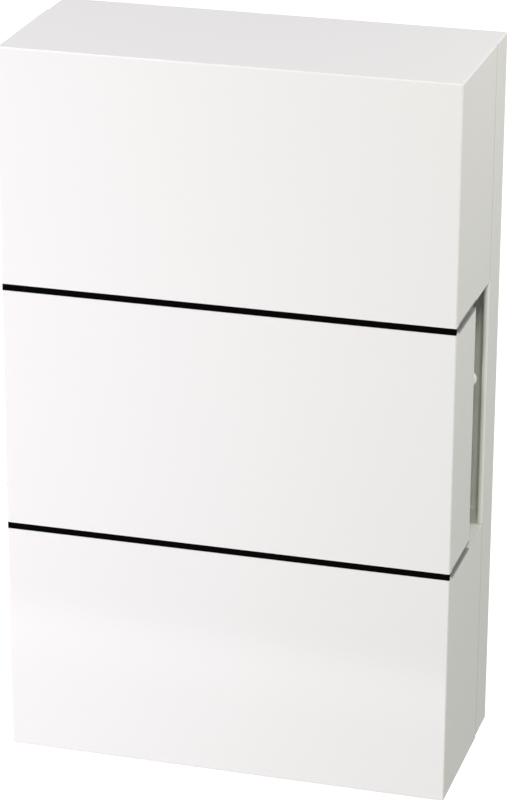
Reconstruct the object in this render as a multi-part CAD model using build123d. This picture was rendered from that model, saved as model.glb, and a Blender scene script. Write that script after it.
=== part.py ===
from build123d import *
import math
import os

# Wall doorbell chime: a white two-part case with open sides round a solenoid that strikes two bars.
# Millimetres. X is to the right, Y towards the wall, Z up.
# The origin is the middle of the back face, on the wall. "Out" is a distance from the wall, so Y = -out.

# Case
box_width = 92.4
base_depth = 9.6
cover_depth = 29.6
seam_gap = 0.25
front_wall = 2.0
side_wall = 1.25
base_floor = 1.5
seam_step = 0.15
corner_radius = 0.4
cover_edge_radius = 0.3
base_edge_radius = 0.3
rim_round = 0.5

# Panels of the front, from the bottom up
lower_panel_height = 48.8
strip_height = 1.4
centre_panel_height = 50.0
upper_panel_height = 48.4
return_depth = 17.0

# Ledges that line the side openings
ledge_width = 4.5
ledge_thickness = 1.2

# Black strips and their channels
strip_thickness = 0.6
strip_sink = 0.1
strip_end_gap = 0.08
strip_side_gap = 0.03
strip_peg_radius = 0.55
strip_peg_clearance = 0.06
strip_peg_pitch = 30.0
stake_head_radius = 1.1
stake_head_height = 0.6
corner_groove_depth = 0.7

# Ribs inside the cover
cover_rib_thickness = 1.0
cover_rib_height = 2.2
cover_rib_offset = 3.4

# Tongues of the cover inside the rim
tongue_width = 10.0
tongue_thickness = 1.2
tongue_reach = 4.5
tongue_root = 7.0
tongue_clearance = 0.12
tongue_lead = 0.6
end_tongue_place = 24.0
side_tongue_edge = 13.0

# Chime bars
bar_thickness = 2.0
bar_depth = 18.0
ding_bar_length = 88.0
dong_bar_length = 98.0
node_share = 0.224
bar_corner_radius = 1.5
bar_edge = 0.25
strike_height = 57.2
strike_out = 12.7

# Grommets and pins of the bars
grommet_flange = 1.5
grommet_radius = 4.8
grommet_edge = 0.55
grommet_neck_radius = 3.2
grommet_clearance = 0.02
pin_radius = 1.5
pin_clearance = 0.03
pin_grip = 7.0
pin_head_radius = 3.25
pin_collar = 0.8
pin_nose_radius = 1.7
pin_tip_gap = 0.2

# Posts of the bars
post_width = 8.0
post_thickness = 8.0
post_over_pin = 4.2
post_corner = 0.8
gusset_thickness = 1.6
gusset_run = 7.0
gusset_drop = 4.0

# Solenoid
core_overhang = 4.5
yoke_sheet = 1.5
yoke_width = 22.0
yoke_bend = 1.0
foot_length = 10.5
foot_hole_inset = 5.2
foot_hole_offset = 7.8
flange_size = 19.2
flange_thickness = 1.2
flange_corner = 2.0
tube_wall = 0.92
snout_clearance = 0.05
winding_radius = 8.75
winding_gap = 0.03
tape_thickness = 0.2
tape_lap = 2.4

# Screws
yoke_screw_radius = 1.5
yoke_screw_length = 5.2
yoke_screw_head_radius = 2.8
yoke_screw_head_height = 1.9
screw_hole_clearance = 0.2
screw_bore_clearance = 0.02
screw_recess_radius = 1.3
screw_recess_depth = 1.0
screw_recess_slot = 0.5
yoke_boss_height = 4.0
yoke_boss_radius = 3.4
peg_radius = 1.15
peg_over = 0.9

# Plunger
core_radius = 3.5
striker_length = 13.7
core_chamfer = 0.4
bore_clearance = 0.08
rest_gap_dong = 2.0
rest_gap_ding = 8.0
end_gap = 0.3
striker_stem_radius = 1.5
striker_stem_length = 5.0
striker_stem_clearance = 0.03
striker_radius = 2.7
striker_dome = 1.6
striker_shoulder = 6.5
collar_radius = 5.0
collar_thickness = 1.4

# Return spring
spring_wire = 0.5
spring_mean_radius = 4.15
spring_turns = 6
spring_seat_gap = 0.05

# Terminal block
block_width = 30.0
block_height = 13.0
block_core = 6.0
barrier_height = 4.2
barrier_thickness = 1.5
centre_width = 9.0
block_place = 17.5
block_drop = 31.0
block_boss_height = 4.0
block_boss_radius = 3.5
block_edge = 0.4
plate_width = 8.0
plate_thickness = 0.8
plate_side_gap = 0.2
tab_width = 2.6
tab_reach = 4.0
clamp_size = 7.0
clamp_thickness = 1.0
clamp_crown = 0.3
terminal_screw_radius = 1.5
terminal_screw_grip = 4.5
terminal_screw_head_radius = 2.8
terminal_screw_head_height = 2.0
block_screw_length = 8.0

# Coil leads
lead_radius = 0.6
lead_inset = 4.3
lead_rise = 6.0
lead_floor_clearance = 2.2
lead_entry = 5.0
bend_share = 0.45

# Openings in the base
keyhole_drop = 14.0
keyhole_head_radius = 4.4
keyhole_slot_radius = 2.2
keyhole_travel = 7.0
keyhole_rim = 1.4
keyhole_rim_height = 1.0
fixing_level = 12.0
fixing_spacing = 50.0
fixing_slot_radius = 2.2
fixing_slot_length = 9.0
fixing_rim = 1.6
fixing_rim_height = 1.0
cable_hole_radius = 5.5
cable_hole_place = -17.0
cable_hole_drop = 31.0
cable_rim = 1.2
cable_rim_height = 1.6
base_rib_thickness = 1.2
base_rib_height = 2.0
base_rib_place = 26.0

# Cutters run past what they cut by this much
overrun = 1.0

# Sizes that follow
box_height = lower_panel_height + centre_panel_height + upper_panel_height + strip_height * 2
half_width = box_width / 2
half_height = box_height / 2
box_depth = base_depth + cover_depth
inner_half_width = half_width - side_wall
inner_half_height = half_height - side_wall
cover_back = base_depth + seam_gap
front_inside = box_depth - front_wall
return_edge = box_depth - return_depth
opening_bottom = lower_panel_height - half_height
lower_strip_top = opening_bottom + strip_height
opening_top = lower_strip_top + centre_panel_height + strip_height
upper_strip_bottom = opening_top - strip_height
channel_depth = strip_thickness + strip_sink

pin_head_height = pin_collar + pin_nose_radius
bar_outside = inner_half_width - pin_tip_gap - pin_head_height - grommet_flange
bar_inside = bar_outside - bar_thickness
post_face = bar_inside - grommet_flange
strike_z = strike_height - half_height
hole_radius = grommet_neck_radius + grommet_clearance

plunger_left = -bar_inside + rest_gap_dong
plunger_right = bar_inside - rest_gap_ding
core_left = plunger_left + striker_length
core_right = plunger_right - striker_length
collar_left = core_left - striker_shoulder - collar_thickness

coil_gap = core_right - core_left - core_overhang * 2
yoke_half = coil_gap / 2 + yoke_sheet
web_inside = strike_out + flange_size / 2 + yoke_bend
foot_seat = base_floor + yoke_boss_height
foot_top = foot_seat + yoke_sheet
foot_hole_place = yoke_half + foot_hole_inset
tube_bore = core_radius + bore_clearance
tube_radius = tube_bore + tube_wall

block_z = half_height - block_drop
block_seat = base_floor + block_boss_height
cell_floor = block_seat + block_core
plate_top = cell_floor + plate_thickness
clamp_top = plate_top + clamp_thickness
terminal_place = (centre_width + block_width) / 4 - barrier_thickness / 2


def block(x0, x1, out0, out1, z0, z1):
    # A box between two distances across, out from the wall, and up
    place = Pos((x0 + x1) / 2, -(out0 + out1) / 2, (z0 + z1) / 2)
    return place * Box(abs(x1 - x0), abs(out1 - out0), abs(z1 - z0))


def at(out):
    # A plane that faces the front, at a distance from the wall: its axes are X and Z
    return Plane((0, -out, 0), x_dir=(1, 0, 0), z_dir=(0, -1, 0))


def rod_across(radius, x0, x1, out, z):
    # A cylinder along X
    return Pos((x0 + x1) / 2, -out, z) * Rot(0, 90, 0) * Cylinder(radius, x1 - x0)


def rod_out(radius, out0, out1, x, z):
    # A cylinder that stands out from the wall
    return extrude(at(out0) * Pos(x, z) * Circle(radius), out1 - out0)


def turned_across(points, out, z):
    # A solid turned about the strike axis, or one beside it, from (x, radius) points
    profile = make_face(Polyline(*points, close=True))
    return Pos(0, -out, z) * revolve(profile, Axis.X, 360)


def mirrored(piece):
    # The same piece on the other side of the middle
    return mirror(piece, Plane.YZ)


def rounded_prism(width, height, radius, out0, out1):
    return extrude(at(out0) * RectangleRounded(width, height, radius), out1 - out0)


def node_levels(length):
    # The two heights where a free bar doesn't move when it rings
    reach = length * (1 / 2 - node_share)
    return (strike_z - reach, strike_z + reach)


def ledges(out0, out1):
    # The ledges along the lower and upper edges of both side openings
    bands = (
        (opening_bottom - ledge_thickness, opening_bottom),
        (opening_top, opening_top + ledge_thickness),
    )
    right = [
        block(half_width - ledge_width, inner_half_width, out0, out1, low, high)
        for low, high in bands
    ]
    return right + [mirrored(ledge) for ledge in right]


def tongue(wall_face, place):
    # One tongue in upright position: it is fused to the wall inside the cover, stands clear of
    # the wall's plane by the clearance, and reaches into the rim with a slanted lead
    outer = wall_face - tongue_clearance
    inner = outer - tongue_thickness
    root = -(cover_back + tongue_root)
    tip = -(cover_back - tongue_reach)
    profile = Polyline(
        (root, inner), (tip, inner), (tip, outer - tongue_lead), (tip - tongue_lead, outer),
        (-cover_back, outer), (-cover_back, wall_face), (root, wall_face),
        close=True,
    )
    # The profile's axes are Y and Z, seen along X
    return extrude(Plane((place, 0, 0), x_dir=(0, 1, 0), z_dir=(1, 0, 0)) * make_face(profile),
                   tongue_width / 2, both=True)


def cover_tongues():
    pieces = []
    for place in (-end_tongue_place, end_tongue_place):
        top = tongue(inner_half_height, place)
        pieces += [top, Rot(0, 180, 0) * top]
    level = half_height - side_tongue_edge
    for place in (-level, level):
        side = Rot(0, 90, 0) * tongue(inner_half_width, place)
        pieces += [side, Rot(0, 180, 0) * side]
    return pieces


def strip_levels():
    return (
        (opening_bottom, lower_strip_top),
        (upper_strip_bottom, opening_top),
    )


def strip_peg_places():
    return (-strip_peg_pitch, 0, strip_peg_pitch)


def front_cover():
    shell = rounded_prism(box_width, box_height, corner_radius, cover_back, box_depth)
    front_edges = shell.edges().group_by(Axis.Y)[0]
    shell = fillet(front_edges, cover_edge_radius)
    cavity = block(-inner_half_width, inner_half_width, cover_back - overrun, front_inside,
                   -inner_half_height, inner_half_height)
    cover = shell - cavity
    cover += ledges(cover_back, front_inside)
    cover += cover_tongues()

    # Stiffening ribs above and below each channel
    for low, high in strip_levels():
        middle = (low + high) / 2
        for side in (-cover_rib_offset, cover_rib_offset):
            level = middle + side
            cover += block(-inner_half_width, inner_half_width,
                           front_inside - cover_rib_height, front_inside,
                           level - cover_rib_thickness / 2, level + cover_rib_thickness / 2)

    # Side openings, and the slots that part the returns from the panels above and below
    for reach in (-1, 1):
        wall = (reach * inner_half_width, reach * (half_width + overrun))
        cover -= block(*wall, cover_back - overrun, return_edge, opening_bottom, opening_top)
        groove = (reach * (half_width - corner_groove_depth), reach * (half_width + overrun))
        for low, high in strip_levels():
            cover -= block(*wall, return_edge - overrun, front_inside, low, high)
            cover -= block(*groove, front_inside - overrun, box_depth + overrun, low, high)

    # Channels of the black strips, with a hole for each peg
    for low, high in strip_levels():
        cover -= block(-half_width - overrun, half_width + overrun,
                       box_depth - channel_depth, box_depth + overrun, low, high)
        for place in strip_peg_places():
            cover -= rod_out(strip_peg_radius + strip_peg_clearance, front_inside - overrun,
                             box_depth, place, (low + high) / 2)
    return cover


def accent_strip(level):
    # The face is a hair below the front, and each peg is staked behind the wall
    low, high = strip_levels()[level]
    middle = (low + high) / 2
    reach = half_width - strip_end_gap
    face = box_depth - strip_sink
    back = face - strip_thickness
    strip = block(-reach, reach, back, face, low + strip_side_gap, high - strip_side_gap)
    for place in strip_peg_places():
        strip += rod_out(strip_peg_radius, front_inside - stake_head_height, back, place, middle)
        head = rod_out(stake_head_radius, front_inside - stake_head_height, front_inside, place, middle)
        strip += fillet(head.edges().group_by(Axis.Y)[-1], stake_head_height / 2)
    return strip


def bar_posts():
    # Four posts rise from the floor beside the bars, each with a gusset towards the middle
    posts = []
    top = strike_out + post_over_pin
    inner = post_face - post_thickness
    for length, side in ((ding_bar_length, 1), (dong_bar_length, -1)):
        for level in node_levels(length):
            post = block(inner, post_face, base_floor, top,
                         level - post_width / 2, level + post_width / 2)
            post = fillet(post.edges().group_by(Axis.Y)[0], post_corner)
            plane = Plane((0, 0, level), x_dir=(1, 0, 0), z_dir=(0, 0, 1))
            slope = make_face(Polyline(
                (inner, -base_floor),
                (inner, -(top - gusset_drop)),
                (inner - gusset_run, -base_floor),
                close=True,
            ))
            post += extrude(plane * slope, gusset_thickness / 2, both=True)
            post -= rod_across(pin_radius + pin_clearance, post_face - pin_grip - pin_clearance,
                               post_face + overrun, strike_out, level)
            posts.append(post if side > 0 else mirrored(post))
    return posts


def foot_hole_places():
    # Screws on one diagonal of the feet, locating pegs on the other
    screws = ((-foot_hole_place, strike_z + foot_hole_offset), (foot_hole_place, strike_z - foot_hole_offset))
    pegs = ((-foot_hole_place, strike_z - foot_hole_offset), (foot_hole_place, strike_z + foot_hole_offset))
    return screws, pegs


def slot_prism(radius, length, out0, out1, x, z, upright=False):
    # A round-ended slot through the floor
    shape = SlotOverall(length, radius * 2, rotation=90 if upright else 0)
    return extrude(at(out0) * Pos(x, z) * shape, out1 - out0)


def keyhole(grow, out0, out1):
    # A round hole for the screw head, and above it the slot that drops onto the shank
    z = half_height - keyhole_drop
    hole = rod_out(keyhole_head_radius + grow, out0, out1, 0, z)
    length = keyhole_travel + (keyhole_slot_radius + grow) * 2
    slot = slot_prism(keyhole_slot_radius + grow, length, out0, out1, 0, z + keyhole_travel / 2, True)
    return hole + slot


def rim_rounding(edge, inward):
    # What comes off one long edge of the rim where the side opening leaves it bare
    centre = edge + inward * rim_round
    corner = block(centre, edge - inward * overrun, base_depth - rim_round, base_depth + overrun,
                   opening_bottom, opening_top)
    middle = (opening_bottom + opening_top) / 2
    return corner - Pos(centre, rim_round - base_depth, middle) * Cylinder(rim_round, opening_top - opening_bottom)


def back_base():
    # The base is a step narrower than the cover all round, so that the seam lies in shadow
    shell = rounded_prism(box_width - seam_step * 2, box_height - seam_step * 2, corner_radius, 0, base_depth)
    shell = fillet(shell.edges().group_by(Axis.Y)[0], base_edge_radius)
    cavity = block(-inner_half_width, inner_half_width, base_floor, base_depth + overrun,
                   -inner_half_height, inner_half_height)
    base = shell - cavity
    base += ledges(base_floor, base_depth)
    for rounding in (rim_rounding(half_width - seam_step, -1), rim_rounding(inner_half_width, 1)):
        base -= rounding
        base -= mirrored(rounding)
    base += bar_posts()

    # Two long ribs stiffen the floor
    for place in (-base_rib_place, base_rib_place):
        base += block(place - base_rib_thickness / 2, place + base_rib_thickness / 2,
                      base_floor, base_floor + base_rib_height,
                      fixing_level - half_height + fixing_slot_radius + fixing_rim * 2, inner_half_height)

    # Bosses and pegs under the feet of the yoke
    screws, pegs = foot_hole_places()
    for x, z in screws + pegs:
        base += rod_out(yoke_boss_radius, base_floor, foot_seat, x, z)
    for x, z in screws:
        base -= rod_out(yoke_screw_radius + screw_bore_clearance,
                        foot_top - yoke_screw_length - screw_bore_clearance, foot_seat + overrun, x, z)
    for x, z in pegs:
        peg = rod_out(peg_radius, foot_seat, foot_top + peg_over, x, z)
        base += chamfer(peg.edges().group_by(Axis.Y)[0], peg_over / 3)

    # Seat of the terminal block: a bored boss between two pads
    boss = rod_out(block_boss_radius, base_floor, block_seat, block_place, block_z)
    bore = rod_out(terminal_screw_radius + screw_bore_clearance, base_floor,
                   block_seat + overrun, block_place, block_z)
    base += boss - bore
    for side in (-1, 1):
        place = block_place + side * (block_width / 2 - barrier_thickness)
        base += block(place - barrier_thickness, place + barrier_thickness, base_floor, block_seat,
                      block_z - block_height / 3, block_z + block_height / 3)

    # Rims round the holes, then the holes
    base += keyhole(keyhole_rim, base_floor, base_floor + keyhole_rim_height)
    base -= keyhole(0, -overrun, base_floor + keyhole_rim_height + overrun)
    fixing_z = fixing_level - half_height
    for place in (-fixing_spacing / 2, fixing_spacing / 2):
        base += slot_prism(fixing_slot_radius + fixing_rim, fixing_slot_length + fixing_rim * 2,
                           base_floor, base_floor + fixing_rim_height, place, fixing_z)
        base -= slot_prism(fixing_slot_radius, fixing_slot_length,
                           -overrun, base_floor + fixing_rim_height + overrun, place, fixing_z)
    cable_z = half_height - cable_hole_drop
    base += rod_out(cable_hole_radius + cable_rim, base_floor, base_floor + cable_rim_height,
                    cable_hole_place, cable_z)
    base -= rod_out(cable_hole_radius, -overrun, base_floor + cable_rim_height + overrun,
                    cable_hole_place, cable_z)
    return base


def chime_bar(length, side):
    # A flat bar on edge to the wall, bored at its two nodes
    plane = Plane((bar_inside, -strike_out, strike_z), x_dir=(0, 1, 0), z_dir=(1, 0, 0))
    bar = extrude(plane * RectangleRounded(bar_depth, length, bar_corner_radius), bar_thickness)
    faces = bar.edges().group_by(Axis.X)
    bar = chamfer(faces[0] + faces[-1], bar_edge)
    for level in node_levels(length):
        bar -= rod_across(hole_radius, bar_inside - overrun, bar_outside + overrun, strike_out, level)
    return bar if side > 0 else mirrored(bar)


def bar_grommet(level):
    # A rubber bush with a groove that the bar sits in
    bore = pin_radius + pin_clearance
    outside = bar_outside + grommet_flange
    ring = turned_across([
        (post_face, bore), (post_face, grommet_radius), (bar_inside, grommet_radius),
        (bar_inside, grommet_neck_radius), (bar_outside, grommet_neck_radius),
        (bar_outside, grommet_radius), (outside, grommet_radius), (outside, bore),
    ], strike_out, level)
    rims = ring.edges().filter_by(GeomType.CIRCLE).filter_by(
        lambda edge: abs(edge.radius - grommet_radius) < grommet_clearance)
    rims = rims.group_by(Axis.X)
    return fillet(rims[0] + rims[-1], grommet_edge)


def bar_pin(level):
    # A moulded drive pin: a pointed shank, a flange against the rubber and a round nose
    inner = post_face - pin_grip
    seat = bar_outside + grommet_flange
    brow = seat + pin_collar
    crown = brow + pin_nose_radius
    edge = pin_collar / 4
    outline = [
        Polyline((crown, 0), (inner, 0), (inner, pin_radius * 3 / 4), (inner + pin_radius / 2, pin_radius),
                 (seat, pin_radius), (seat, pin_head_radius), (brow - edge, pin_head_radius),
                 (brow, pin_head_radius - edge), (brow, pin_nose_radius)),
        TangentArc((crown, 0), (brow, pin_nose_radius), tangent=(0, 1)),
    ]
    pin = revolve(make_face(outline), Axis.X, 360)
    return Pos(0, -strike_out, level) * pin


def pair(maker, length, side):
    # The same small part at both nodes of a bar
    parts = [maker(level) for level in node_levels(length)]
    if side < 0:
        parts = [mirrored(part) for part in parts]
    return Compound(children=[part for whole in parts for part in whole.solids()])


def solenoid_yoke():
    # A strip bent like a hat: web in front of the coil, legs at its ends, feet on the bosses
    half_sheet = yoke_sheet / 2
    leg = yoke_half - half_sheet
    tip = yoke_half + foot_length
    foot = foot_seat + half_sheet
    web = web_inside + half_sheet
    path = FilletPolyline((-tip, -foot), (-leg, -foot), (-leg, -web), (leg, -web), (leg, -foot),
                          (tip, -foot), radius=yoke_bend + half_sheet)
    strip = extrude(Plane((0, 0, strike_z)) * trace(path, yoke_sheet), yoke_width / 2, both=True)
    strip -= rod_across(tube_radius + snout_clearance, -yoke_half - overrun, yoke_half + overrun,
                        strike_out, strike_z)
    screws, pegs = foot_hole_places()
    for x, z in screws:
        strip -= rod_out(yoke_screw_radius + screw_hole_clearance, foot_seat - overrun,
                         foot_top + overrun, x, z)
    for x, z in pegs:
        strip -= rod_out(peg_radius + snout_clearance, foot_seat - overrun, foot_top + overrun, x, z)
    return strip


def coil_bobbin():
    # A tube between two square flanges, its snouts flush with the outside of the yoke's legs
    half_gap = coil_gap / 2
    plane = Plane((0, -strike_out, strike_z), x_dir=(0, 1, 0), z_dir=(1, 0, 0))
    bobbin = rod_across(tube_radius, -yoke_half, yoke_half, strike_out, strike_z)
    for near, far in ((-half_gap, -half_gap + flange_thickness), (half_gap - flange_thickness, half_gap)):
        square = RectangleRounded(flange_size, flange_size, flange_corner)
        bobbin += extrude(plane.offset(near) * square, far - near)
    return bobbin - rod_across(tube_bore, -yoke_half - overrun, yoke_half + overrun, strike_out, strike_z)


def coil_winding():
    # The wound wire under its tape, whose lapped end leaves a low step along the coil
    reach = coil_gap / 2 - flange_thickness - winding_gap
    wound = rod_across(winding_radius, -reach, reach, strike_out, strike_z)
    lap = block(-reach, reach, strike_out + winding_radius - tape_lap / 2,
                strike_out + winding_radius + tape_thickness, strike_z, strike_z + tape_lap)
    lap &= rod_across(winding_radius + tape_thickness, -reach, reach, strike_out, strike_z)
    wound += lap
    return wound - rod_across(tube_radius + winding_gap, -reach - overrun, reach + overrun,
                              strike_out, strike_z)


def screw(radius, length, head_radius, head_height, seat, x, z):
    # A pan-head screw that stands out from the wall, its head seated at the given height
    shank = rod_out(radius, seat - length, seat, x, z)
    shank = chamfer(shank.edges().group_by(Axis.Y)[-1], radius / 3)
    head = rod_out(head_radius, seat, seat + head_height, x, z)
    head = fillet(head.edges().group_by(Axis.Y)[0], head_height / 2)
    top = seat + head_height
    cross = Rectangle(screw_recess_radius * 2, screw_recess_slot)
    cross += Rectangle(screw_recess_slot, screw_recess_radius * 2)
    recess = extrude(at(top - screw_recess_depth) * Pos(x, z) * cross, screw_recess_depth + overrun)
    return shank + head - recess


def yoke_screws():
    screws, pegs = foot_hole_places()
    return Compound(children=[
        solid for x, z in screws
        for solid in screw(yoke_screw_radius, yoke_screw_length, yoke_screw_head_radius,
                           yoke_screw_head_height, foot_top, x, z).solids()])


def plunger_core():
    core = rod_across(core_radius, core_left, core_right, strike_out, strike_z)
    ends = core.edges().filter_by(GeomType.CIRCLE).group_by(Axis.X)
    core = chamfer(ends[0] + ends[-1], core_chamfer)
    bore = striker_stem_radius + striker_stem_clearance
    depth = striker_stem_length + striker_stem_clearance
    core -= rod_across(bore, core_left - overrun, core_left + depth, strike_out, strike_z)
    return core - rod_across(bore, core_right - depth, core_right + overrun, strike_out, strike_z)


def striker(side):
    # A nylon tip: stem in the core, collar, and a domed nose. Drawn for the left end
    nose = plunger_left
    profile = [
        (core_left + striker_stem_length, 0),
        (core_left + striker_stem_length, striker_stem_radius),
        (core_left, striker_stem_radius),
        (core_left, core_radius - core_chamfer),
        (core_left - striker_shoulder, core_radius - core_chamfer),
        (core_left - striker_shoulder, collar_radius),
        (collar_left, collar_radius),
        (collar_left, striker_radius),
        (nose, striker_radius),
        (nose, 0),
    ]
    tip = turned_across(profile, strike_out, strike_z)
    tip = fillet(tip.edges().filter_by(GeomType.CIRCLE).group_by(Axis.X)[0], striker_dome)
    if side < 0:
        return tip
    return Pos(core_left + core_right, 0, 0) * mirrored(tip)


def helix_point(turn, start, pitch):
    angle = turn * 2 * math.pi
    return Vector(start - turn * pitch,
                  -strike_out + spring_mean_radius * math.cos(angle),
                  strike_z + spring_mean_radius * math.sin(angle))


def helix_tangent(turn, pitch):
    angle = turn * 2 * math.pi
    around = spring_mean_radius * 2 * math.pi
    return Vector(-pitch, -around * math.sin(angle), around * math.cos(angle)).normalized()


def biarc(start, start_tangent, end, end_tangent):
    # Two arcs that meet smoothly between two points with given directions
    chord = end - start
    total = start_tangent + end_tangent
    a = 2 * (1 - start_tangent.dot(end_tangent))
    b = 2 * chord.dot(total)
    reach = (math.sqrt(b * b + 4 * a * chord.dot(chord)) - b) / (2 * a)
    near = start + start_tangent * reach
    far = end - end_tangent * reach
    middle = (near + far) * (1 / 2)
    first = TangentArc(start, middle, tangent=start_tangent)
    second = TangentArc(middle, end, tangent=(far - near).normalized())
    return [first, second]


def return_spring():
    # Wire coiled round the plunger between the left leg of the yoke and the striker's collar
    start = -yoke_half - spring_wire / 2 - spring_seat_gap
    collar_face = core_left - striker_shoulder
    end = collar_face + spring_wire / 2 + spring_seat_gap
    pitch = (start - end) / spring_turns
    print(f"spring pitch {pitch:.2f}, gap between turns {pitch - spring_wire:.2f}")
    halves = spring_turns * 2
    arcs = []
    for index in range(halves):
        here = index / 2
        there = here + 1 / 2
        arcs += biarc(helix_point(here, start, pitch), helix_tangent(here, pitch),
                      helix_point(there, start, pitch), helix_tangent(there, pitch))
    path = Wire(arcs)
    section = Plane(path @ 0, z_dir=path % 0) * Circle(spring_wire / 2)
    return sweep(section, path=path)


def terminal_block():
    half = block_width / 2
    low = block_z - block_height / 2
    high = block_z + block_height / 2
    body = block(block_place - half, block_place + half, block_seat, cell_floor, low, high)
    top = cell_floor + barrier_height
    for side in (-1, 1):
        edge = block_place + side * half
        body += block(edge, edge - side * barrier_thickness, cell_floor, top, low, high)
        wall = block_place + side * centre_width / 2
        body += block(wall, wall - side * barrier_thickness, cell_floor, top, low, high)
    body = chamfer(body.edges().group_by(Axis.Y)[0].filter_by(Axis.X), block_edge)
    fixing = terminal_screw_radius + screw_hole_clearance
    body -= rod_out(fixing, block_seat - overrun, cell_floor + overrun, block_place, block_z)
    for side in (-1, 1):
        body -= rod_out(terminal_screw_radius + screw_bore_clearance,
                        cell_floor - terminal_screw_grip - screw_bore_clearance,
                        cell_floor + overrun, block_place + side * terminal_place, block_z)
    return body


def both_terminals(maker):
    return Compound(children=[
        solid for side in (-1, 1)
        for solid in maker(block_place + side * terminal_place).solids()])


def terminal_plate(place):
    # Brass plate on the floor of its cell, with a tab below for the coil's lead
    half = plate_width / 2
    low = block_z - block_height / 2
    plate = block(place - half, place + half, cell_floor, plate_top,
                  low + plate_side_gap, block_z + block_height / 2 - plate_side_gap)
    plate += block(place - tab_width / 2, place + tab_width / 2, cell_floor, plate_top,
                   low - tab_reach, low + plate_side_gap)
    return plate - rod_out(terminal_screw_radius + screw_hole_clearance, cell_floor - overrun,
                           plate_top + overrun, place, block_z)


def terminal_clamp(place):
    # Square washer, its upper and lower edges eased where the wire goes in
    half = clamp_size / 2
    brow = clamp_top - clamp_crown
    profile = make_face(Polyline(
        (-plate_top, -half), (-brow, -half), (-clamp_top, -half + clamp_crown),
        (-clamp_top, half - clamp_crown), (-brow, half), (-plate_top, half),
        close=True,
    ))
    plane = Plane((place, 0, block_z), x_dir=(0, 1, 0), z_dir=(1, 0, 0))
    washer = extrude(plane * profile, half, both=True)
    return washer - rod_out(terminal_screw_radius + screw_hole_clearance, plate_top - overrun,
                            clamp_top + overrun, place, block_z)


def terminal_screw(place):
    length = clamp_top - cell_floor + terminal_screw_grip
    return screw(terminal_screw_radius, length, terminal_screw_head_radius,
                 terminal_screw_head_height, clamp_top, place, block_z)


def block_screw():
    return screw(terminal_screw_radius, block_screw_length, terminal_screw_head_radius,
                 terminal_screw_head_height, cell_floor, block_place, block_z)


def lead_route(side):
    # From the top of the winding down to the floor, up along it, and out to the tab of its plate
    start_x = side * (coil_gap / 2 - flange_thickness - lead_inset)
    end_x = block_place + side * terminal_place
    start_z = strike_z + winding_radius
    end_z = block_z - block_height / 2 - tab_reach
    end_out = cell_floor + plate_thickness / 2
    low = base_floor + lead_floor_clearance
    rise = end_z - start_z
    return [
        (start_x, strike_out, start_z),
        (start_x, strike_out, start_z + lead_rise),
        (start_x + (end_x - start_x) / 6, (strike_out + low) / 2, start_z + rise / 3),
        (start_x + (end_x - start_x) / 2, low, start_z + rise / 2 + lead_rise / 3),
        (end_x, (end_out + low) / 2, end_z - lead_entry * 2),
        (end_x, end_out, end_z - lead_entry),
        (end_x, end_out, end_z),
    ]


def coil_lead(side):
    points = [Vector(x, -out, z) for x, out, z in lead_route(side)]
    radii = []
    for before, here, after in zip(points, points[1:], points[2:]):
        inward = here - before
        onward = after - here
        turn = math.radians(inward.get_angle(onward))
        radii.append(bend_share * min(inward.length, onward.length) / math.tan(turn / 2))
    print("lead radii", [round(radius, 1) for radius in radii])
    path = FilletPolyline(*points, radius=radii)
    section = Plane(path @ 0, z_dir=path % 0) * Circle(lead_radius)
    tube = sweep(section, path=path)
    print(f"lead length {path.length:.1f}, volume {tube.volume:.2f} against "
          f"{path.length * math.pi * lead_radius ** 2:.2f}")
    return tube


nodes = {
    "front_cover": front_cover,
    "upper_accent_strip": lambda: accent_strip(1),
    "lower_accent_strip": lambda: accent_strip(0),
    "back_base": back_base,
    "ding_bar": lambda: chime_bar(ding_bar_length, 1),
    "dong_bar": lambda: chime_bar(dong_bar_length, -1),
    "ding_bar_grommets": lambda: pair(bar_grommet, ding_bar_length, 1),
    "dong_bar_grommets": lambda: pair(bar_grommet, dong_bar_length, -1),
    "ding_bar_pins": lambda: pair(bar_pin, ding_bar_length, 1),
    "dong_bar_pins": lambda: pair(bar_pin, dong_bar_length, -1),
    "solenoid_yoke": solenoid_yoke,
    "coil_bobbin": coil_bobbin,
    "coil_winding": coil_winding,
    "yoke_screws": yoke_screws,
    "plunger_core": plunger_core,
    "ding_striker": lambda: striker(1),
    "dong_striker": lambda: striker(-1),
    "return_spring": return_spring,
    "terminal_block": terminal_block,
    "terminal_plates": lambda: both_terminals(terminal_plate),
    "terminal_clamps": lambda: both_terminals(terminal_clamp),
    "terminal_screws": lambda: both_terminals(terminal_screw),
    "block_screw": block_screw,
    "ding_side_lead": lambda: coil_lead(1),
    "dong_side_lead": lambda: coil_lead(-1),
}

os.makedirs("parts", exist_ok=True)
for name, maker in nodes.items():
    export_step(maker(), f"parts/{name}.step")
print(f"{len(nodes)} nodes, plunger travel {end_gap - rest_gap_dong:.2f} to {rest_gap_ding - end_gap:.2f}")
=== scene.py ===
import bpy
import bmesh
import math
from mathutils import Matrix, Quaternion, Vector


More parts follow.
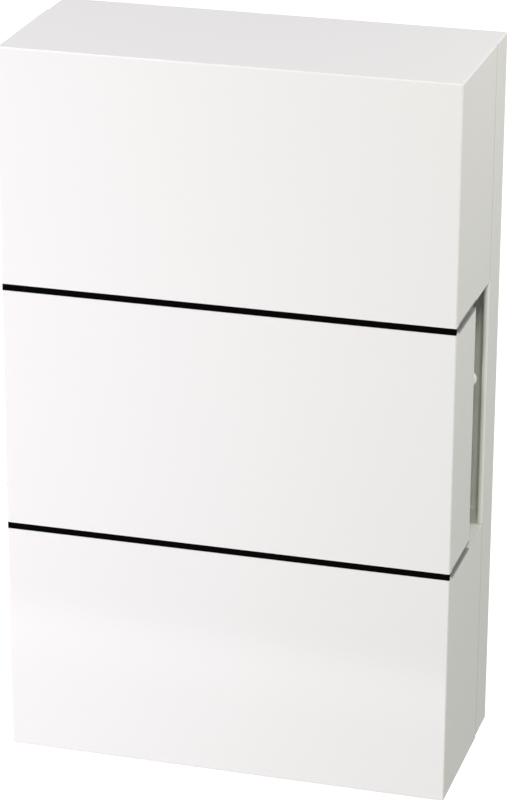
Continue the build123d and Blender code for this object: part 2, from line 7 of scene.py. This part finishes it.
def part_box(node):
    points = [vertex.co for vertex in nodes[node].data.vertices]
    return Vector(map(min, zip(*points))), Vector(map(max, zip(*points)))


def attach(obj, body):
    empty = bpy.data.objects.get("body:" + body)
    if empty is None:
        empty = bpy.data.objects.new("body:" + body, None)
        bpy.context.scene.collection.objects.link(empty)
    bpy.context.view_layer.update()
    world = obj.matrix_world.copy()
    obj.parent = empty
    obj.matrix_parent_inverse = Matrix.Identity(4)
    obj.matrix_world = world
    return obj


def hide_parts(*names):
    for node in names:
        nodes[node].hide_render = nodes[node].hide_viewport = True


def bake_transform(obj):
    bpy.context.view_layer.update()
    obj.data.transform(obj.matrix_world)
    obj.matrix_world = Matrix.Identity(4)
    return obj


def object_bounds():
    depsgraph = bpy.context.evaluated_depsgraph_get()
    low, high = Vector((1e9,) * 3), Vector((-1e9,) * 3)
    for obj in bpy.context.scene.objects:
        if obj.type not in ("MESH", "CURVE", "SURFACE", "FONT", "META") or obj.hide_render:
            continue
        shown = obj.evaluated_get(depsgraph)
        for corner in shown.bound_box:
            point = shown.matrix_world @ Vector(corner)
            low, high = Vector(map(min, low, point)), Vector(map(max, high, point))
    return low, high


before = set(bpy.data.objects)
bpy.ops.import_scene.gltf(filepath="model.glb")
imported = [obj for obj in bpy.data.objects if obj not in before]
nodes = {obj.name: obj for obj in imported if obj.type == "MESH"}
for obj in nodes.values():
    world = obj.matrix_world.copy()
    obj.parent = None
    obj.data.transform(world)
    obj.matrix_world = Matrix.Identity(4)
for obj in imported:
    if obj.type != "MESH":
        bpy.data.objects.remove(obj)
cadBox = [list(corner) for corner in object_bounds()]
mm = 0.001
print("frame loaded:", len(nodes), "nodes")

# part frame: X right, Y into the wall, Z up, origin on the wall behind the middle of the box
# lengths of pieces and finishes are given in mm, and those of the stage, the lamps and the camera's
# place in metres


# materials

def newMaterial(name, color, roughness, metallic=0.0):
    material = bpy.data.materials.new(name)
    material.use_nodes = True
    shader = material.node_tree.nodes["Principled BSDF"]
    shader.inputs["Base Color"].default_value = (*color, 1)
    shader.inputs["Roughness"].default_value = roughness
    shader.inputs["Metallic"].default_value = metallic
    return material, material.node_tree, shader


def addNoise(tree, scale, detail, stretch=(1, 1, 1)):
    # noise on object coordinates, scale in features per metre
    coords = tree.nodes.new("ShaderNodeTexCoord")
    mapping = tree.nodes.new("ShaderNodeMapping")
    mapping.inputs["Scale"].default_value = stretch
    noise = tree.nodes.new("ShaderNodeTexNoise")
    noise.inputs["Scale"].default_value = scale
    noise.inputs["Detail"].default_value = detail
    tree.links.new(coords.outputs["Object"], mapping.inputs["Vector"])
    tree.links.new(mapping.outputs["Vector"], noise.inputs["Vector"])
    return noise


def varyColor(tree, shader, noise, dark, light, low=0.3, high=0.7):
    ramp = tree.nodes.new("ShaderNodeValToRGB")
    ramp.color_ramp.elements[0].position = low
    ramp.color_ramp.elements[0].color = (*dark, 1)
    ramp.color_ramp.elements[1].position = high
    ramp.color_ramp.elements[1].color = (*light, 1)
    tree.links.new(noise.outputs["Fac"], ramp.inputs["Fac"])
    tree.links.new(ramp.outputs["Color"], shader.inputs["Base Color"])


def varyRoughness(tree, shader, noise, low, high):
    spread = tree.nodes.new("ShaderNodeMapRange")
    spread.inputs["To Min"].default_value = low
    spread.inputs["To Max"].default_value = high
    tree.links.new(noise.outputs["Fac"], spread.inputs["Value"])
    tree.links.new(spread.outputs["Result"], shader.inputs["Roughness"])


def addBump(tree, shader, noise, strength, distance):
    bump = tree.nodes.new("ShaderNodeBump")
    bump.inputs["Strength"].default_value = strength
    bump.inputs["Distance"].default_value = distance
    tree.links.new(noise.outputs["Fac"], bump.inputs["Height"])
    tree.links.new(bump.outputs["Normal"], shader.inputs["Normal"])


def paint(material, names):
    for name in names:
        for slot in nodes[name].material_slots:
            slot.link = "OBJECT"
            slot.material = material


# the white case: gloss moulding with a faint flow in its colour and a fine orange peel, with painted shade
# in the side slots and along the seam

casePlastic = {
    "color": (0.890, 0.884, 0.874),
    "shade": (0.884, 0.877, 0.866),
    "roughness": (0.045, 0.065),
    "ior": 1.5,
    "flow": 14,                            # features per metre
    "peel": 420,
    "detail": 2,
    "peelBump": 0.3,
    "peelDepth": 0.004,
    "paintedSlotShade": (0.36, 0.35, 0.355),      # painted shade on the walls of the narrow side slots, where little light gets out
    "slotDepth": 1.25,
    "slotReach": (22.2, 37.2),             # out from the wall
    "slotMargin": 0.04,
    "paintedSeamShade": (0.52, 0.515, 0.505),     # painted shade on the edge of the base's sides, where the cover meets it
    "seamReach": (8.88, 9.6),              # out from the wall
    "seamDepth": 0.3,
    "openReach": (-26.2, 26.6),            # heights of the side opening, which has no seam
}


def addMath(tree, operation, *values):
    step = tree.nodes.new("ShaderNodeMath")
    step.operation = operation
    for socket, value in zip(step.inputs, values):
        if isinstance(value, (int, float)):
            socket.default_value = value
        else:
            tree.links.new(value, socket)
    return step.outputs[0]


def addBand(tree, value, low, high, margin=0):
    # 1 where the value lies between low and high, 0 elsewhere
    return addMath(tree, "COMPARE", value, (low + high) / 2, (high - low) / 2 + margin)


def mixColor(tree, shader, mask, color):
    # the surface takes the color where the mask is 1
    mix = tree.nodes.new("ShaderNodeMix")
    mix.data_type = "RGBA"
    base, over, result = mix.inputs[6], mix.inputs[7], mix.outputs[2]      # the sockets for colours
    tree.links.new(mask, mix.inputs["Factor"])
    tree.links.new(shader.inputs["Base Color"].links[0].from_socket, base)
    over.default_value = (*color, 1)
    tree.links.new(result, shader.inputs["Base Color"])


def paintGapShade(tree, shader):
    # painted shade in the slots that run on from the two strips round the sides, and along the seam
    plan = casePlastic
    margin = plan["slotMargin"] * mm
    side = cadBox[1][0]
    coords = tree.nodes.new("ShaderNodeTexCoord")
    axes = tree.nodes.new("ShaderNodeSeparateXYZ")
    tree.links.new(coords.outputs["Object"], axes.inputs[0])
    x, y, z = axes.outputs
    fromMiddle = addMath(tree, "ABSOLUTE", x)

    levels = [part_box(name) for name in ("upper_accent_strip", "lower_accent_strip")]
    bands = [addBand(tree, z, low[2], high[2], margin) for low, high in levels]
    across = addBand(tree, fromMiddle, side - plan["slotDepth"] * mm, side, margin)
    near, far = plan["slotReach"]
    along = addBand(tree, y, -far * mm, -near * mm, margin)
    slots = addMath(tree, "MULTIPLY", addMath(tree, "MAXIMUM", *bands), across)
    # painted shade on the slot walls
    mixColor(tree, shader, addMath(tree, "MULTIPLY", slots, along), plan["paintedSlotShade"])

    # painted shade along the edge of the base's sides at the seam, left off beside the side opening
    low, high = plan["openReach"]
    covered = addMath(tree, "SUBTRACT", 1, addBand(tree, z, low * mm, high * mm))
    atSide = addMath(tree, "GREATER_THAN", fromMiddle, side - plan["seamDepth"] * mm)
    near, far = plan["seamReach"]
    along = addBand(tree, y, -far * mm, -near * mm)
    seam = addMath(tree, "MULTIPLY", atSide, along)
    mixColor(tree, shader, addMath(tree, "MULTIPLY", covered, seam), plan["paintedSeamShade"])


def casePlasticMaterial():
    plan = casePlastic
    material, tree, shader = newMaterial("caseWhite", plan["color"], plan["roughness"][0])
    flow = addNoise(tree, plan["flow"], plan["detail"])
    varyColor(tree, shader, flow, plan["shade"], plan["color"])
    paintGapShade(tree, shader)
    peel = addNoise(tree, plan["peel"], plan["detail"])
    varyRoughness(tree, shader, peel, *plan["roughness"])
    addBump(tree, shader, peel, plan["peelBump"], plan["peelDepth"] * mm)
    shader.inputs["IOR"].default_value = plan["ior"]
    return material


paint(casePlasticMaterial(), ["front_cover", "back_base"])


# the other finishes: grain in features per metre, spread is how much darker the grain gets, a small
# stretch draws the grain out along its axis, and on names the CAD nodes that have the finish

finishes = {
    "stripBlack": {"color": (0.0013, 0.0013, 0.0013), "roughness": 0.5, "specular": 0.02,
                   "on": ["upper_accent_strip", "lower_accent_strip"]},
    "barSteel": {"color": (0.62, 0.61, 0.58), "roughness": 0.3, "metallic": 1, "grain": 500,
                 "spread": 0.1, "stretch": (1, 1, 0.05), "on": ["ding_bar", "dong_bar"]},
    "grommetRubber": {"color": (0.02, 0.02, 0.02), "roughness": 0.7,
                      "on": ["ding_bar_grommets", "dong_bar_grommets"]},
    "pinNylon": {"color": (0.86, 0.86, 0.82), "roughness": 0.35, "on": ["ding_bar_pins", "dong_bar_pins"]},
    "platedSteel": {"color": (0.58, 0.58, 0.55), "roughness": 0.34, "metallic": 1, "grain": 260,
                    "spread": 0.14, "on": ["solenoid_yoke"]},
    "screwSteel": {"color": (0.60, 0.60, 0.60), "roughness": 0.28, "metallic": 1,
                   "on": ["yoke_screws", "terminal_screws", "block_screw"]},
    "bobbinPlastic": {"color": (0.78, 0.76, 0.66), "roughness": 0.42, "on": ["coil_bobbin"]},
    "windingTape": {"color": (0.56, 0.30, 0.03), "roughness": 0.24, "grain": 1500, "spread": 0.25,
                    "stretch": (1, 0.06, 0.06), "bump": 0.4, "on": ["coil_winding"]},
    "windingWire": {"color": (0.55, 0.20, 0.07), "roughness": 0.32, "metallic": 0.7, "grain": 900,
                    "spread": 0.2},
    "coreSteel": {"color": (0.48, 0.48, 0.47), "roughness": 0.26, "metallic": 1, "grain": 900,
                  "spread": 0.1, "stretch": (0.05, 1, 1), "on": ["plunger_core"]},
    "strikerNylon": {"color": (0.84, 0.84, 0.79), "roughness": 0.4, "on": ["ding_striker", "dong_striker"]},
    "springSteel": {"color": (0.5, 0.5, 0.5), "roughness": 0.25, "metallic": 1, "on": ["return_spring"]},
    "terminalBlack": {"color": (0.03, 0.03, 0.03), "roughness": 0.45, "on": ["terminal_block"]},
    "terminalBrass": {"color": (0.72, 0.52, 0.22), "roughness": 0.3, "metallic": 1,
                      "on": ["terminal_plates"]},
    "clampSteel": {"color": (0.62, 0.62, 0.60), "roughness": 0.3, "metallic": 1, "on": ["terminal_clamps"]},
    "leadSleeve": {"color": (0.5, 0.03, 0.025), "roughness": 0.42,
                   "on": ["ding_side_lead", "dong_side_lead"]},
    "tinnedWire": {"color": (0.66, 0.66, 0.64), "roughness": 0.3, "metallic": 1},
}
grainDetail = 4
roughnessSpread = 0.15


def makeFinish(name, color, roughness, metallic=0, specular=0.5, grain=1200, spread=0.06,
               stretch=(1, 1, 1), bump=0.15, depth=0.02, on=()):
    material, tree, shader = newMaterial(name, color, roughness, metallic)
    shader.inputs["Specular IOR Level"].default_value = specular
    noise = addNoise(tree, grain, grainDetail, stretch)
    dark = [channel * (1 - spread) for channel in color]
    varyColor(tree, shader, noise, dark, color)
    varyRoughness(tree, shader, noise, roughness * (1 - roughnessSpread), roughness * (1 + roughnessSpread))
    addBump(tree, shader, noise, bump, depth * mm)
    paint(material, on)
    return material


materials = {name: makeFinish(name, **finish) for name, finish in finishes.items()}
print("materials done")


# steps that several pieces share

smoothAngle = {"tube": 50, "ring": 35}       # degrees, edges flatter than this are shaded smooth


def finishPiece(piece, slot, body, *replaced):
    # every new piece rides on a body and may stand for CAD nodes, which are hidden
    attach(piece, body)
    if replaced:
        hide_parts(*replaced)


def selectOnly(piece):
    bpy.ops.object.select_all(action="DESELECT")
    piece.select_set(True)
    bpy.context.view_layer.objects.active = piece


def makeTube(name, points, radius, sides, material):
    # a round tube along the points, as a mesh with closed ends
    line = bpy.data.curves.new(name, "CURVE")
    line.dimensions = "3D"
    line.bevel_depth = radius
    line.bevel_resolution = sides // 2 - 2      # a curve's round bevel has twice this and four more sides
    line.use_fill_caps = True
    line.materials.append(material)
    spline = line.splines.new("POLY")
    spline.points.add(len(points) - 1)
    for spot, point in zip(spline.points, points):
        spot.co = (*point, 1)
    tube = bpy.data.objects.new(name, line)
    bpy.context.scene.collection.objects.link(tube)
    selectOnly(tube)
    bpy.ops.object.convert(target="MESH")
    bpy.ops.object.shade_smooth_by_angle(angle=math.radians(smoothAngle["tube"]))
    return bpy.context.object


def ease(share):
    # from 0 to 1 with a soft start and end
    share = min(max(share, 0), 1)
    return share * share * (3 - 2 * share)


def boxMiddle(node):
    low, high = [Vector(corner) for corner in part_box(node)]
    return (low + high) / 2, high - low


# return spring, its end turns closed and the rest open, between the yoke and the plunger's collar

returnSpring = {
    "wire": 0.5,
    "turns": 7,
    "closedTurns": 0.8,      # at each end
    "easeTurns": 0.5,        # from closed to open
    "closedPitch": 0.53,
    "stepsPerTurn": 30,
    "sides": 12,
    "pastShare": 0.1,        # of its length, how far past each end a blend between the bodies would run
}


def makeReturnSpring():
    plan = returnSpring
    middle, size = boxMiddle("return_spring")
    wire = plan["wire"] * mm
    radius = (size.z - wire) / 2
    length = size.x - wire
    steps = plan["turns"] * plan["stepsPerTurn"]
    openShares = []
    for step in range(steps):
        turn = (step + 0.5) / plan["stepsPerTurn"]
        fromEnd = min(turn, plan["turns"] - turn)
        openShares.append(ease((fromEnd - plan["closedTurns"]) / plan["easeTurns"]))
    closedRise = plan["closedPitch"] * mm / plan["stepsPerTurn"]
    openRise = (length - closedRise * steps) / sum(openShares)
    x = middle.x + length / 2
    points = []
    for step in range(steps + 1):
        angle = step / plan["stepsPerTurn"] * 2 * math.pi
        points.append((x, middle.y + radius * math.cos(angle), middle.z + radius * math.sin(angle)))
        if step < steps:
            x -= closedRise + openRise * openShares[step]
    coil = makeTube("returnSpring", points, wire / 2, plan["sides"], materials["springSteel"])
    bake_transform(coil)
    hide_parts("return_spring")


makeReturnSpring()
print("return spring done")


# the coil's two leads: insulated wire held by the winding and by the tabs of the terminal plates, with
# bared and soldered ends

leads = {
    "sleeve": 0.6,           # radius
    "strand": 0.36,          # radius
    "sides": 16,
    "bare": 2.4,
    "overlap": 1.0,          # how far the strand reaches into the sleeve
    "spanSteps": 16,
    "coilX": 10.0,           # each way from the middle of the coil
    "blockX": 17.5,          # the middle of the terminal block
    "tabX": 9.0,             # each way from there
    "solder": (1.15, 0.72, 1.35),      # half sizes
    "solderRise": 0.5,
    "solderTaper": 0.35,
    "solderBelly": 0.3,
    "solderMesh": (24, 14),
}


def leadRoute(side):
    # x, distance out from the wall, z, as the leads lie in the case
    startX = side * leads["coilX"]
    endX = leads["blockX"] + side * leads["tabX"]
    reach = endX - startX
    return [
        (startX, 12.7, -9.05),
        (startX, 12.7, -3.05),
        (startX + reach / 6, 8.2, 5.133),
        (startX + reach / 2, 3.7, 14.225),
        (endX, 7.8, 23.5),
        (endX, 11.9, 28.5),
        (endX, 11.9, 33.5),
    ]


def smoothLine(route):
    # the smooth curve that the route's points steer, as a list of points
    line = bpy.data.curves.new("leadLine", "CURVE")
    line.dimensions = "3D"
    line.resolution_u = leads["spanSteps"]
    spline = line.splines.new("NURBS")
    spline.points.add(len(route) - 1)
    for spot, (x, out, z) in zip(spline.points, route):
        spot.co = (x * mm, -out * mm, z * mm, 1)
    spline.order_u = 3
    spline.use_endpoint_u = True
    guide = bpy.data.objects.new("leadLine", line)
    mesh = bpy.data.meshes.new_from_object(guide)
    points = [vertex.co.copy() for vertex in mesh.vertices]
    bpy.data.objects.remove(guide)
    bpy.data.meshes.remove(mesh)
    return points


def cutLine(points, near, far):
    # the stretch between two distances from the last point, near being closer to it
    kept = []
    walked = 0
    for here, back in zip(points[::-1], points[-2::-1]):
        step = (back - here).length
        for mark in (near, far):
            if walked <= mark < walked + step:
                kept.append(here.lerp(back, (mark - walked) / step))
        walked += step
        if near < walked < far:
            kept.append(back)
    return kept


def makeSolder(name, place):
    # a bead that runs up the tab from the wire, slimmer at its top
    segments, rings = leads["solderMesh"]
    bpy.ops.object.select_all(action="DESELECT")
    bpy.ops.mesh.primitive_uv_sphere_add(segments=segments, ring_count=rings, radius=1, location=(0, 0, 0))
    bead = bpy.context.object
    bead.name = name
    for vertex in bead.data.vertices:
        up = vertex.co.z
        slim = 1 - leads["solderTaper"] * up if up > 0 else 1 - leads["solderBelly"] * up * up
        vertex.co.x *= slim
        vertex.co.y *= slim
    bead.scale = [size * mm for size in leads["solder"]]
    bead.location = place + Vector((0, 0, leads["solderRise"] * mm))
    bpy.ops.object.transform_apply(location=True, rotation=True, scale=True)
    bpy.ops.object.shade_smooth()
    bead.data.materials.append(materials["tinnedWire"])
    finishPiece(bead, "screw_steel", "wall_base")


def makeLead(name, side, node):
    line = smoothLine(leadRoute(side))
    length = sum((point - before).length for before, point in zip(line, line[1:]))
    bare = leads["bare"] * mm
    sleevePath = cutLine(line, bare, length + mm)      # past the first point, so all the rest
    sleeve = makeTube(name, sleevePath, leads["sleeve"] * mm, leads["sides"], materials["leadSleeve"])
    finishPiece(sleeve, "lead_sleeve", "wall_base", node)
    strandPath = cutLine(line, 0, bare + leads["overlap"] * mm)
    strand = makeTube(name + "Strand", strandPath, leads["strand"] * mm, leads["sides"],
                      materials["tinnedWire"])
    finishPiece(strand, "screw_steel", "wall_base")
    makeSolder(name + "Solder", line[-1])
    print(name, "lead length", round(length / mm, 1), "mm")


makeLead("dingLead", 1, "ding_side_lead")
makeLead("dongLead", -1, "dong_side_lead")


# the winding: enamelled wire laid round the bobbin, and the tape over it with its lapped end

winding = {
    "bore": 4.53,            # radius, on the bobbin's barrel
    "facets": 96,
    "wire": 0.32,            # thickness of a turn
    "wireSides": 8,
    "turnSteps": 40,
    "tapeReach": 12.4,       # each way from the middle
    "tapeThickness": 0.34,
    "tapeEdge": 0.06,        # width of the bevel along its edges
    "edgeSteps": 2,
    "edgeAngle": 40,
    "lap": 2.4,
    "lapStep": 0.16,
}
facing = 0.9                 # how squarely a selected face looks along its direction


def makeRing(name, middle, reach, outer, inner, facets, material):
    # a tube along X: a cylinder whose ends are inset and bridged through
    bpy.ops.object.select_all(action="DESELECT")
    bpy.ops.mesh.primitive_cylinder_add(vertices=facets, radius=outer, depth=reach * 2, location=middle,
                                        rotation=(0, math.pi / 2, 0))
    ring = bpy.context.object
    ring.name = name
    bpy.ops.object.transform_apply(location=True, rotation=True, scale=True)
    bpy.ops.object.mode_set(mode="EDIT")
    bpy.ops.mesh.select_mode(type="FACE")
    bpy.ops.mesh.select_all(action="DESELECT")
    bm = bmesh.from_edit_mesh(ring.data)
    for face in bm.faces:
        face.select_set(abs(face.normal.x) > facing)
    bmesh.update_edit_mesh(ring.data)
    bpy.ops.mesh.inset(thickness=outer - inner)
    bpy.ops.mesh.bridge_edge_loops()
    bpy.ops.mesh.select_all(action="SELECT")
    bpy.ops.mesh.normals_make_consistent(inside=False)
    bpy.ops.object.mode_set(mode="OBJECT")
    bpy.ops.object.shade_smooth_by_angle(angle=math.radians(smoothAngle["ring"]))
    ring.data.materials.append(material)
    return ring


def makeTurns(name, side, middle, reach, drum):
    # the last layer's turns that the tape leaves bare at one end
    wire = winding["wire"] * mm
    turns = int((reach - winding["tapeReach"] * mm) / wire) + 1
    points = []
    for step in range(turns * winding["turnSteps"] + 1):
        turn = step / winding["turnSteps"]
        angle = side * turn * 2 * math.pi
        x = middle.x + side * (reach - wire / 2 - wire * turn)
        points.append((x, middle.y + drum * math.cos(angle), middle.z + drum * math.sin(angle)))
    layer = makeTube(name, points, wire / 2, winding["wireSides"], materials["windingWire"])
    finishPiece(layer, "winding_tape", "wall_base")


def bevelEdges(piece, width, segments, angle):
    bevel = piece.modifiers.new("edge", "BEVEL")
    bevel.width = width
    bevel.segments = segments
    bevel.limit_method = "ANGLE"
    bevel.angle_limit = math.radians(angle)
    selectOnly(piece)
    bpy.ops.object.modifier_apply(modifier="edge")
    bpy.ops.object.shade_smooth_by_angle(angle=math.radians(smoothAngle["ring"]))


def makeTape(middle, radius, drum):
    tape = makeRing("windingTape", middle, winding["tapeReach"] * mm, radius, drum, winding["facets"],
                    materials["windingTape"])
    bpy.ops.object.mode_set(mode="EDIT")
    bpy.ops.mesh.select_all(action="DESELECT")
    bm = bmesh.from_edit_mesh(tape.data)
    for face in bm.faces:
        place = face.calc_center_median() - middle
        outside = face.normal.dot(Vector((0, place.y, place.z)).normalized()) > facing
        face.select_set(outside and place.y < 0 and 0 < place.z < winding["lap"] * mm)
    bmesh.update_edit_mesh(tape.data)
    bpy.ops.mesh.extrude_region_shrink_fatten(TRANSFORM_OT_shrink_fatten={"value": winding["lapStep"] * mm})
    bpy.ops.object.mode_set(mode="OBJECT")
    bevelEdges(tape, winding["tapeEdge"] * mm, winding["edgeSteps"], winding["edgeAngle"])
    finishPiece(tape, "winding_tape", "wall_base")


def makeWinding():
    middle, size = boxMiddle("coil_winding")
    radius = size.z / 2
    middle.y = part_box("coil_winding")[1][1] - radius      # the lap makes the box deeper at the front
    drum = radius - winding["tapeThickness"] * mm
    wound = makeRing("windingWire", middle, size.x / 2, drum, winding["bore"] * mm, winding["facets"],
                     materials["windingWire"])
    finishPiece(wound, "winding_tape", "wall_base", "coil_winding")
    for name, side in (("windingTurnsDong", -1), ("windingTurnsDing", 1)):
        makeTurns(name, side, middle, size.x / 2, drum)
    makeTape(middle, radius, drum)


makeWinding()
print("winding done")


# stage: a pale floor well below the box, which hangs on a wall that isn't shown

floorPlan = {"size": 6.0, "drop": 0.30, "color": (0.86, 0.86, 0.86), "roughness": 0.9, "lift": 0.75}
floorLevel = cadBox[0][2] - floorPlan["drop"]


def addRayWhite(tree, strength, kinds):
    # a white of the given strength that only rays of these kinds see, and the switch for it
    path = tree.nodes.new("ShaderNodeLightPath")
    switch = path.outputs[kinds[0]]
    for kind in kinds[1:]:
        switch = addMath(tree, "MAXIMUM", switch, path.outputs[kind])
    white = tree.nodes.new("ShaderNodeEmission")
    white.inputs["Color"].default_value = (1, 1, 1, 1)
    white.inputs["Strength"].default_value = strength
    return white, switch


def mixShaders(tree, switch, first, second):
    # the second shader where the switch is 1
    mix = tree.nodes.new("ShaderNodeMixShader")
    tree.links.new(switch, mix.inputs[0])
    tree.links.new(first.outputs[0], mix.inputs[1])
    tree.links.new(second.outputs[0], mix.inputs[2])
    return mix


def whitenedMaterial(name, lift, kinds):
    # a matt surface that rays of these kinds see whiter, so that it keeps the shadows, and that
    # doesn't hide the box from below
    material, tree, shader = newMaterial(name, floorPlan["color"], floorPlan["roughness"])
    white, switch = addRayWhite(tree, lift, kinds)
    both = tree.nodes.new("ShaderNodeAddShader")
    tree.links.new(shader.outputs[0], both.inputs[0])
    tree.links.new(white.outputs[0], both.inputs[1])
    top = mixShaders(tree, switch, shader, both)
    face = tree.nodes.new("ShaderNodeNewGeometry")
    clear = tree.nodes.new("ShaderNodeBsdfTransparent")
    oneSided = mixShaders(tree, face.outputs["Backfacing"], top, clear)
    tree.links.new(oneSided.outputs[0], tree.nodes["Material Output"].inputs["Surface"])
    return material


def makeSheet(name, place, turn, size, lift, kinds):
    bpy.ops.object.select_all(action="DESELECT")
    bpy.ops.mesh.primitive_plane_add(size=1, location=place, rotation=(0, 0, turn))
    flat = bpy.context.object
    flat.name = name
    flat.scale = (*size, 1)
    flat.data.materials.append(whitenedMaterial(name, lift, kinds))


makeSheet("paleFloor", (0, 0, floorLevel), 0, (floorPlan["size"], floorPlan["size"]), floorPlan["lift"],
          ["Is Camera Ray", "Is Transmission Ray"])


# sheets of bright card on the floor in front, seen only as a faint sheen low on the front panel

cards = {
    "sheenBand": {"middle": (-0.19, -0.6877), "size": (0.60, 0.0454), "rise": 0.002, "lift": 1.15},
    "sheenBelow": {"middle": (-0.193, -0.49), "size": (1.1, 0.38), "rise": 0.001, "lift": 0.85},
}
cardTurn = 0.10              # radians

for cardName, card in cards.items():
    makeSheet(cardName, (*card["middle"], floorLevel + card["rise"]), cardTurn, card["size"], card["lift"],
              ["Is Camera Ray", "Is Glossy Ray", "Is Transmission Ray"])


# light: a soft key in front on the left, one above the camera that reaches into the side opening, one
# beside and above the right side, one above and left of the top, and a pale room

lamps = {
    "key": {"place": (-0.20, -0.27, 0.0), "size": (0.12, 0.24), "level": 0.542,
            "color": (0.889, 0.799, 1.0), "gloss": False},
    "front": {"place": (0.20, -0.645, 0.525), "size": (0.085, 0.20), "level": 0.280,
              "color": (0.975, 0.995, 0.825)},
    "right": {"place": (0.18, 0.0, 0.13), "size": (0.10, 0.10), "level": 0.233,
              "color": (1.0, 0.931, 0.969), "gloss": False},
    "top": {"place": (-0.20, -0.02, 0.36), "size": (0.20, 0.20), "level": 0.373,
            "color": (0.862, 0.758, 1.0)},
}
lampAim = (0, -0.02, 0)
room = {"level": 0.444, "color": (0.967, 1.0, 0.922)}


def addLamp(name, place, size, level, color, gloss=True):
    # level is what a white face turned to the lamp at the origin gets, 1 being full white, and
    # without gloss the lamp doesn't show in reflections
    offset = Vector(lampAim) - Vector(place)
    data = bpy.data.lights.new(name, "AREA")
    data.shape = "RECTANGLE"
    data.size, data.size_y = size
    data.color = color
    data.energy = level * math.pi ** 2 * offset.length ** 2
    lamp = bpy.data.objects.new(name, data)
    lamp.location = place
    lamp.rotation_euler = offset.to_track_quat("-Z", "Y").to_euler()
    lamp.visible_glossy = gloss
    bpy.context.scene.collection.objects.link(lamp)


for lampName, lampPlan in lamps.items():
    addLamp(lampName, **lampPlan)


def makeRoom():
    # pale air that lights the box from all sides, and that the camera sees as white
    world = bpy.data.worlds.new("paleRoom")
    world.use_nodes = True
    tree = world.node_tree
    air = tree.nodes["Background"]
    air.inputs["Color"].default_value = (*room["color"], 1)
    air.inputs["Strength"].default_value = room["level"]
    white, switch = addRayWhite(tree, 1, ["Is Camera Ray", "Is Transmission Ray"])
    seen = mixShaders(tree, switch, air, white)
    tree.links.new(seen.outputs[0], tree.nodes["World Output"].inputs["Surface"])
    bpy.context.scene.world = world


makeRoom()
print("stage and light done")


# camera: where the photograph was taken from, by the corners of the box

cameraView = {
    "place": (0.18136, -0.65303, 0.25519),
    "direction": (-0.27022, 0.88948, -0.37907),
    "roll": -0.0014,         # radians
    "lens": 156.85,          # mm, as the sensor is
    "sensor": 36,
    "shift": (0.068, 0.075),
    "clipStart": 0.01,
}


def makeCamera():
    plan = cameraView
    data = bpy.data.cameras.new("photoCamera")
    data.lens = plan["lens"]
    data.sensor_width = plan["sensor"]
    data.shift_x, data.shift_y = plan["shift"]
    data.clip_start = plan["clipStart"]
    camera = bpy.data.objects.new("photoCamera", data)
    camera.location = plan["place"]
    aimed = Vector(plan["direction"]).to_track_quat("-Z", "Y")
    camera.rotation_euler = (aimed @ Quaternion((0, 0, 1), plan["roll"])).to_euler()
    bpy.context.scene.collection.objects.link(camera)
    bpy.context.scene.camera = camera


makeCamera()
bpy.context.scene.view_settings.view_transform = "Standard"
print("camera done")
